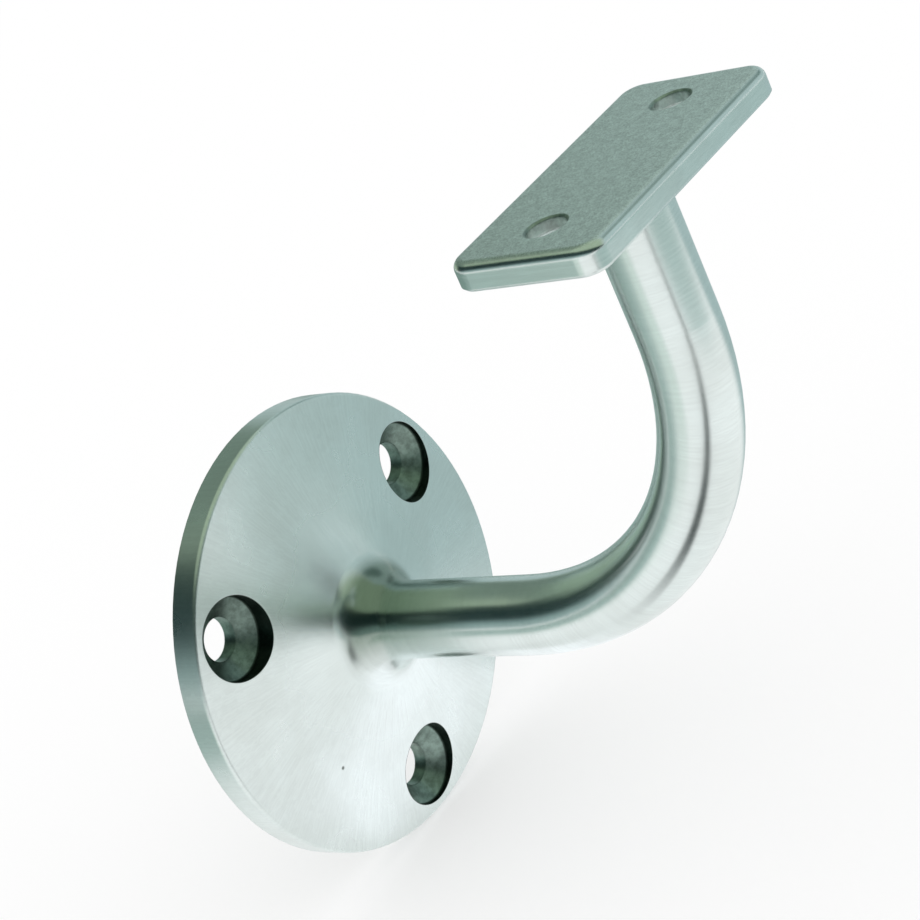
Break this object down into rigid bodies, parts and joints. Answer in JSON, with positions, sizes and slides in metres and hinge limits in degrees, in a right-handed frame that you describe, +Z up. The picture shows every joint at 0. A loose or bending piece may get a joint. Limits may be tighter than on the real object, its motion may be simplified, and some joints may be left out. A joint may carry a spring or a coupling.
{
  "type": "handrail bracket",
  "caption": "One-piece satin stainless wall bracket for a handrail: a round rose, a quarter-bend round arm and a flat oblong saddle under the rail.",
  "frame": {"origin": "centre of the rose's flat back face, on the wall", "axes": "+Y into the wall, so the bracket projects towards -Y; +Z up; +X along the rail"},
  "size_m": [0.0635, 0.0864, 0.094],
  "materials": {
    "satin_stainless": "satin, brushed round the rose and along the arm, saddle's top left as cast"
  },
  "bodies": {
    "root": {"bracket_casting": "satin_stainless"}
  },
  "joints": []
}
